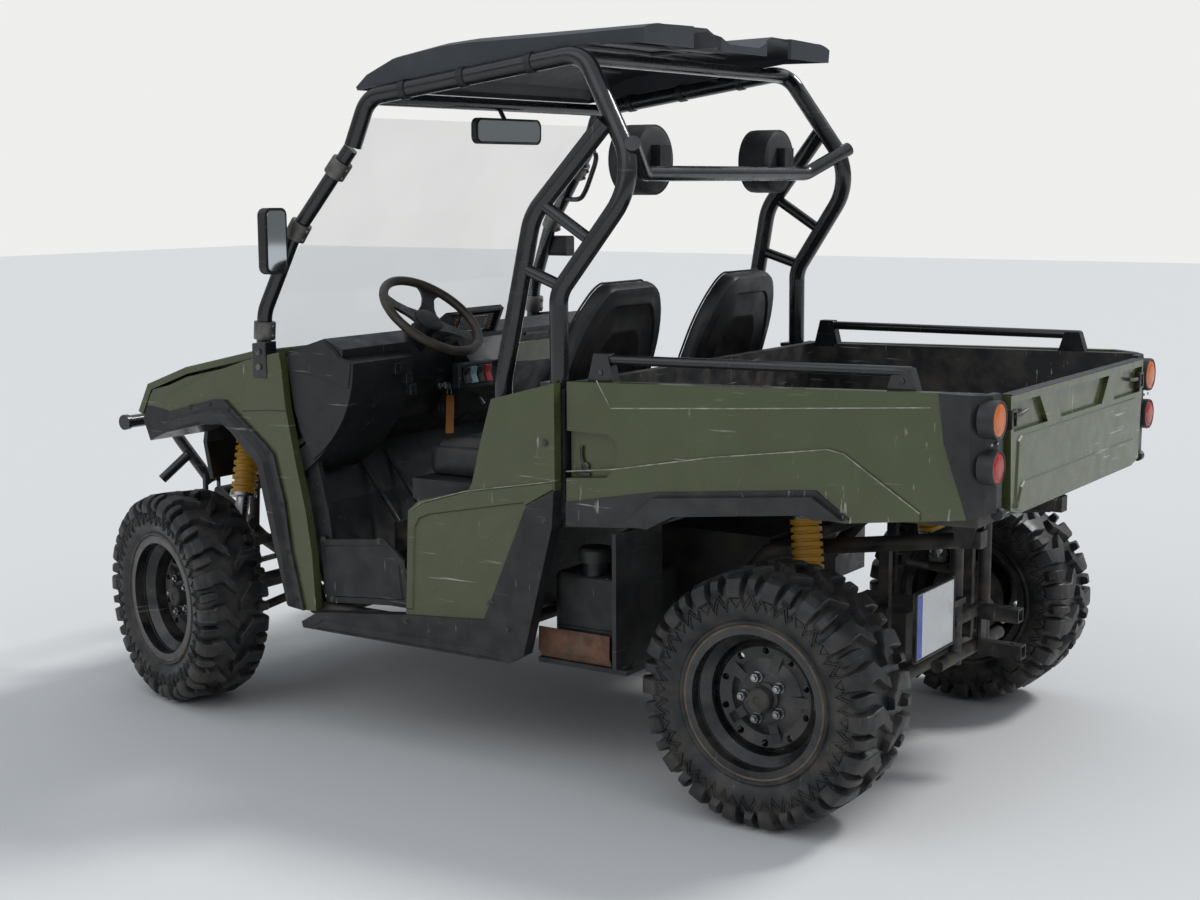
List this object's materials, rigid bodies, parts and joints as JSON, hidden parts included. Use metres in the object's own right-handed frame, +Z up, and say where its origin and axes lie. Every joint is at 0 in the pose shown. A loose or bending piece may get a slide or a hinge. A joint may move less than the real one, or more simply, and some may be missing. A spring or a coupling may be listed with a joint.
{
  "type": "side-by-side utility vehicle",
  "caption": "Two-seat side-by-side utility vehicle with roll cage, roof, windscreen, steered front wheels and a tipping cargo bed with a drop tailgate.",
  "frame": {"origin": "on the ground, under the middle of the outer box", "axes": "+X forward, +Y to the left, +Z up"},
  "size_m": [3.0639, 1.745, 1.9996],
  "materials": {
    "chassis_black": "satin",
    "cage_black": "satin",
    "green_panel": "gloss",
    "moulded_black": "matte",
    "roof_grey": "matte",
    "seat_vinyl": "satin",
    "foam_black": "matte",
    "clear_screen": "gloss",
    "lamp_dark": "gloss",
    "lamp_red": "gloss",
    "tank_black": "matte",
    "cast_metal": "rough",
    "damper_steel": "satin",
    "spring_yellow": "gloss",
    "plate_white": "gloss",
    "wheel_grip": "satin",
    "bed_liner": "matte",
    "rim_black": "satin",
    "tyre_rubber": "matte"
  },
  "bodies": {
    "root": {"frame": "chassis_black", "floor_tub": "moulded_black", "seat_base": "moulded_black", "dash": "moulded_black", "instrument_pod": "moulded_black", "controls": "chassis_black", "hood": "green_panel", "nose": "moulded_black", "headlamps": "lamp_dark", "front_fenders": "green_panel", "front_flares": "moulded_black", "bumper": "chassis_black", "seat_sides": "green_panel", "rockers": "moulded_black", "foot_guards": "moulded_black", "seat_cushions": "seat_vinyl", "seat_backs": "seat_vinyl", "cage": "cage_black", "front_pillars": "cage_black", "headrests": "foam_black", "roof": "roof_grey", "windscreen": "clear_screen", "mirrors": "moulded_black", "fuel_tank": "tank_black", "mud_guards": "tank_black", "drivetrain": "cast_metal", "front_arms": "chassis_black", "rear_arms": "chassis_black", "dampers": "damper_steel", "springs": "spring_yellow", "hitch": "chassis_black", "plate": "plate_white"},
    "steering_wheel": {"steering_wheel": "wheel_grip"},
    "rack": {"steering_rack": "damper_steel"},
    "knuckle_left": {"knuckle_left": "cast_metal"},
    "knuckle_right": {"knuckle_right": "cast_metal"},
    "wheel_front_left": {"rim_front_left": "rim_black", "tyre_front_left": "tyre_rubber"},
    "wheel_front_right": {"rim_front_right": "rim_black", "tyre_front_right": "tyre_rubber"},
    "wheel_rear_left": {"rim_rear_left": "rim_black", "tyre_rear_left": "tyre_rubber"},
    "wheel_rear_right": {"rim_rear_right": "rim_black", "tyre_rear_right": "tyre_rubber"},
    "bed": {"bed_tub": "bed_liner", "bed_sides": "green_panel", "bed_trim": "moulded_black", "tail_lamps": "lamp_red", "bed_rails": "cage_black"},
    "tailgate": {"tailgate": "green_panel"}
  },
  "joints": [
    {"name": "steer_left", "type": "hinge", "parent": "root", "child": "knuckle_left", "pos_m": [1.039, 0.6, 0.323], "axis": [0, 0, 1], "range_deg": [-16, 48]},
    {"name": "steer_right", "type": "hinge", "parent": "root", "child": "knuckle_right", "pos_m": [1.039, -0.6, 0.323], "axis": [0, 0, 1], "range_deg": [-16, 48]},
    {"name": "steering_wheel_turn", "type": "hinge", "parent": "root", "child": "steering_wheel", "pos_m": [0.346, 0.345, 1.195], "axis": [-0.6225, 0, 0.7826], "range_deg": [-128, 384]},
    {"name": "rack_slide", "type": "slide", "parent": "root", "child": "rack", "axis": [0, 1, 0], "range_m": [-0.08, 0.027]},
    {"name": "front_left_roll", "type": "hinge", "parent": "knuckle_left", "child": "wheel_front_left", "pos_m": [1.06243, 0.68171, 0.323], "axis": [0.2756, 0.9613, 0], "continuous": true},
    {"name": "rear_left_roll", "type": "hinge", "parent": "root", "child": "wheel_rear_left", "pos_m": [-0.991, 0.672, 0.323], "axis": [0, 1, 0], "continuous": true},
    {"name": "front_right_roll", "type": "hinge", "parent": "knuckle_right", "child": "wheel_front_right", "pos_m": [1.01557, -0.68171, 0.323], "axis": [0.2756, 0.9613, 0], "continuous": true},
    {"name": "rear_right_roll", "type": "hinge", "parent": "root", "child": "wheel_rear_right", "pos_m": [-0.991, -0.672, 0.323], "axis": [0, 1, 0], "continuous": true},
    {"name": "bed_tip", "type": "hinge", "parent": "root", "child": "bed", "pos_m": [-1.343, 0, 0.69], "axis": [0, -1, 0], "range_deg": [0, 45]},
    {"name": "tailgate_drop", "type": "hinge", "parent": "bed", "child": "tailgate", "pos_m": [-1.511, 0, 0.806], "axis": [0, -1, 0], "range_deg": [0, 90]}
  ],
  "couplings": [
    {"joint": "steer_right", "follows": "steer_left", "ratio": 1},
    {"joint": "steering_wheel_turn", "follows": "steer_left", "ratio": 8},
    {"joint": "rack_slide", "follows": "steer_left", "m_per_rad": -0.095}
  ]
}
